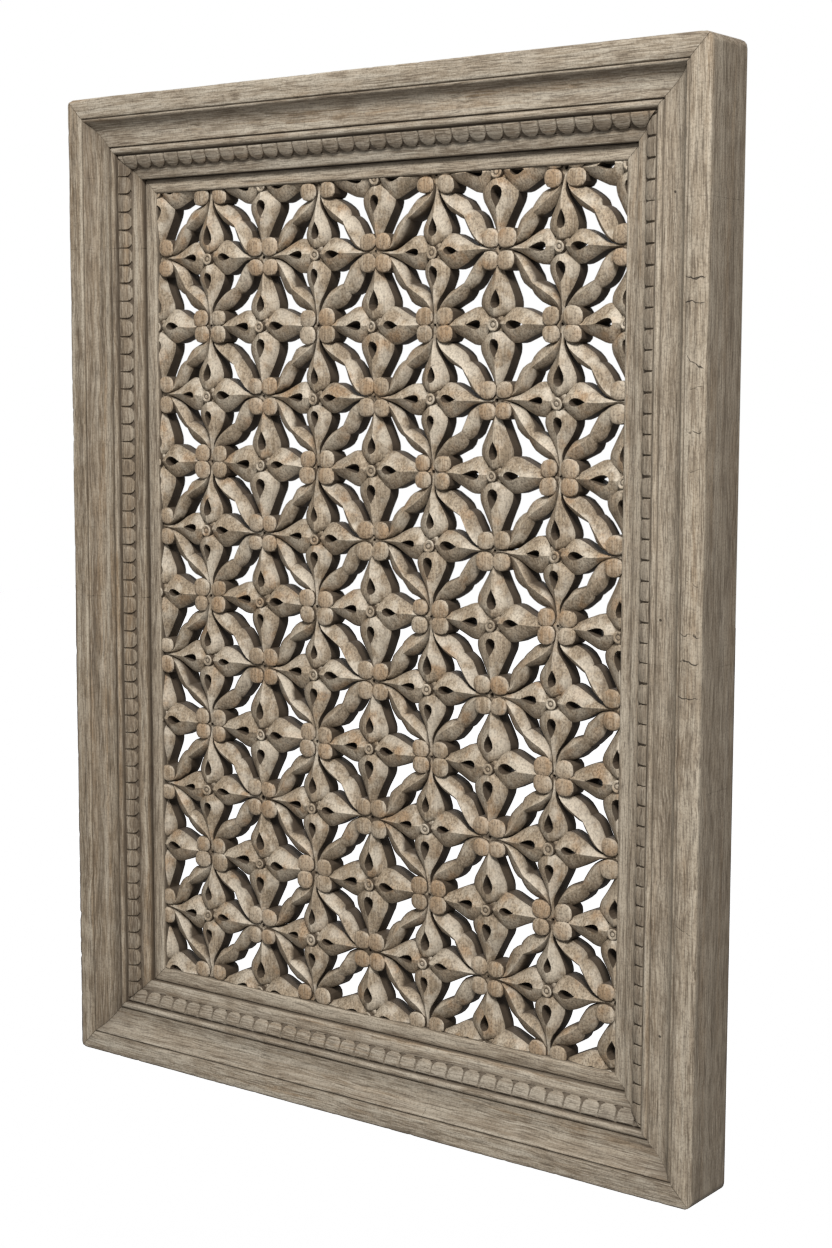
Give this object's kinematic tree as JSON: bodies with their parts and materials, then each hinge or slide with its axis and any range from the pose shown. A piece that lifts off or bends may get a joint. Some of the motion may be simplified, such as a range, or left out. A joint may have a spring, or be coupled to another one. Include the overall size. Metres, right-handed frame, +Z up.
{
  "type": "carved jali screen panel",
  "caption": "Upright wooden screen: a board pierced and carved with a lattice of flowers and bead knots, held by slips in a moulded, mitred frame.",
  "frame": {"origin": "on the flat back, at the middle of the top rail, where the panel hangs on its wall", "axes": "+Z up along the panel's height, +Y back towards the wall, so the carved face looks along -Y, and +X to the right seen from the front"},
  "size_m": [0.675, 0.055, 0.9],
  "materials": {
    "frame_wood": "weathered grey-brown hardwood with traces of pale wash",
    "slip_wood": "weathered grey-brown hardwood",
    "lattice_wood": "carved weathered hardwood, pale on the ridges and dark in the cuts"
  },
  "bodies": {
    "root": {"frame_top_rail": "frame_wood", "frame_bottom_rail": "frame_wood", "frame_left_stile": "frame_wood", "frame_right_stile": "frame_wood", "slip_top": "slip_wood", "slip_bottom": "slip_wood", "slip_left": "slip_wood", "slip_right": "slip_wood", "lattice_panel": "lattice_wood"}
  },
  "joints": []
}
